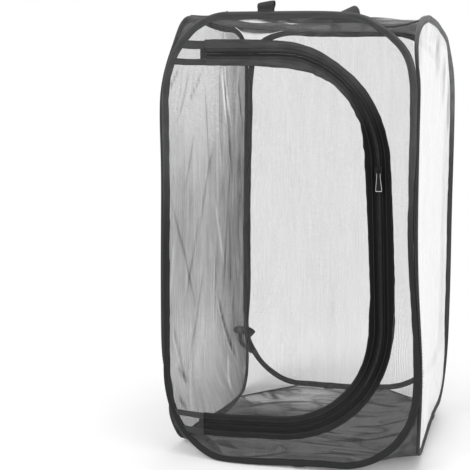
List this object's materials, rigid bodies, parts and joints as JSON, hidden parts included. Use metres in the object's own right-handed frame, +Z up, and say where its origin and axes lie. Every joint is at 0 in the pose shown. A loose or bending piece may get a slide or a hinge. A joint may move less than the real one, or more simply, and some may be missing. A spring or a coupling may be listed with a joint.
{
  "type": "insect cage",
  "caption": "Upright pop-up gauze cage: hooped walls that fold flat together, a zipped door in the front wall, and webbing loops to hang it by.",
  "frame": {"origin": "middle of the underside of the floor gauze, on the surface that the cage stands on", "axes": "+Z up, -Y towards the door, +X to the right as one faces the door"},
  "size_m": [0.3704, 0.359, 0.6363],
  "materials": {
    "gauze": "fine black knitted insect gauze, see-through",
    "binding_tape": "matte woven polyester binding tape, charcoal",
    "zip_tape": "tightly woven zip tape, black",
    "zip_coil": "nylon zip coil, black",
    "webbing": "ribbed polypropylene webbing, black",
    "zip_metal": "black enamelled zinc, worn bright at its edges",
    "snap_steel": "nickelled press stud",
    "spring_steel": "tempered spring wire and a crimped sleeve"
  },
  "bodies": {
    "front_wall": {"front_hoop_binding": "binding_tape", "front_spring_wire": "spring_steel", "front_wire_sleeve": "spring_steel", "front_gauze": "gauze", "roof_gauze": "gauze", "floor_gauze": "gauze", "roof_gusset_front_left": "gauze", "roof_gusset_front_right": "gauze", "roof_gusset_back_left": "gauze", "roof_gusset_back_right": "gauze", "floor_gusset_front_left": "gauze", "floor_gusset_front_right": "gauze", "floor_gusset_back_left": "gauze", "floor_gusset_back_right": "gauze", "frame_zip_tape": "zip_tape", "frame_zip_coil": "zip_coil", "frame_edge_binding": "binding_tape", "upper_tail_outer": "binding_tape", "upper_tail_inner": "binding_tape", "lower_tail_outer": "binding_tape", "lower_tail_inner": "binding_tape", "upper_zip_tack": "zip_tape", "lower_zip_tack": "zip_tape"},
    "right_wall": {"right_hoop_binding": "binding_tape", "right_spring_wire": "spring_steel", "right_wire_sleeve": "spring_steel", "right_gauze": "gauze"},
    "left_wall": {"left_hoop_binding": "binding_tape", "left_spring_wire": "spring_steel", "left_wire_sleeve": "spring_steel", "left_gauze": "gauze"},
    "back_wall": {"back_hoop_binding": "binding_tape", "back_spring_wire": "spring_steel", "back_wire_sleeve": "spring_steel", "back_gauze": "gauze"},
    "door": {"door_gauze": "gauze", "door_zip_tape": "zip_tape", "door_zip_coil": "zip_coil", "door_edge_binding": "binding_tape"},
    "slider": {"zip_slider": "zip_metal"},
    "pull": {"zip_pull": "zip_metal"},
    "front_loop": {"front_hanging_loop": "webbing"},
    "back_loop": {"back_hanging_loop": "webbing"},
    "closure_strap": {"closure_strap": "webbing", "snap_cap": "snap_steel", "snap_ring": "snap_steel"}
  },
  "joints": [
    {"name": "right_fold", "type": "hinge", "parent": "front_wall", "child": "right_wall", "pos_m": [0.16955, -0.16955, 0.3], "axis": [0, 0, -1], "range_deg": [0, 90], "stiffness_Nm_per_rad": 0.3, "deforming": ["roof_gauze", "floor_gauze", "roof_gusset_front_left", "roof_gusset_front_right", "roof_gusset_back_left", "roof_gusset_back_right", "floor_gusset_front_left", "floor_gusset_front_right", "floor_gusset_back_left", "floor_gusset_back_right"]},
    {"name": "left_fold", "type": "hinge", "parent": "front_wall", "child": "left_wall", "pos_m": [-0.16955, -0.16955, 0.3], "axis": [0, 0, -1], "range_deg": [0, 90]},
    {"name": "back_fold", "type": "hinge", "parent": "right_wall", "child": "back_wall", "pos_m": [0.16955, 0.16955, 0.3], "axis": [0, 0, -1], "range_deg": [-90, 0]},
    {"name": "door_swing", "type": "hinge", "parent": "front_wall", "child": "door", "pos_m": [-0.112, -0.1728, 0.299], "axis": [0, 0, 1], "range_deg": [-120, 0]},
    {"name": "slider_run", "type": "slide", "parent": "door", "child": "slider", "axis": [-0.036, 0, 0.9994], "range_m": [-0.185, 0]},
    {"name": "pull_swing", "type": "hinge", "parent": "slider", "child": "pull", "pos_m": [0.12495, -0.1777, 0.39575], "axis": [0.9994, 0, 0.036], "range_deg": [-170, 0]},
    {"name": "front_loop_swing", "type": "hinge", "parent": "front_wall", "child": "front_loop", "pos_m": [-0.028, -0.17235, 0.6019], "axis": [1, 0, 0], "range_deg": [-65, 65], "stiffness_Nm_per_rad": 0.01},
    {"name": "back_loop_swing", "type": "hinge", "parent": "back_wall", "child": "back_loop", "pos_m": [0.006, 0.17235, 0.6019], "axis": [1, 0, 0], "range_deg": [-80, 80], "stiffness_Nm_per_rad": 0.01},
    {"name": "strap_swing", "type": "hinge", "parent": "back_wall", "child": "closure_strap", "pos_m": [-0.1624, 0.1771, 0.088], "axis": [0, 0, 1], "range_deg": [-150, 0]}
  ],
  "couplings": [
    {"joint": "left_fold", "follows": "right_fold", "ratio": 1},
    {"joint": "back_fold", "follows": "right_fold", "ratio": -1}
  ]
}
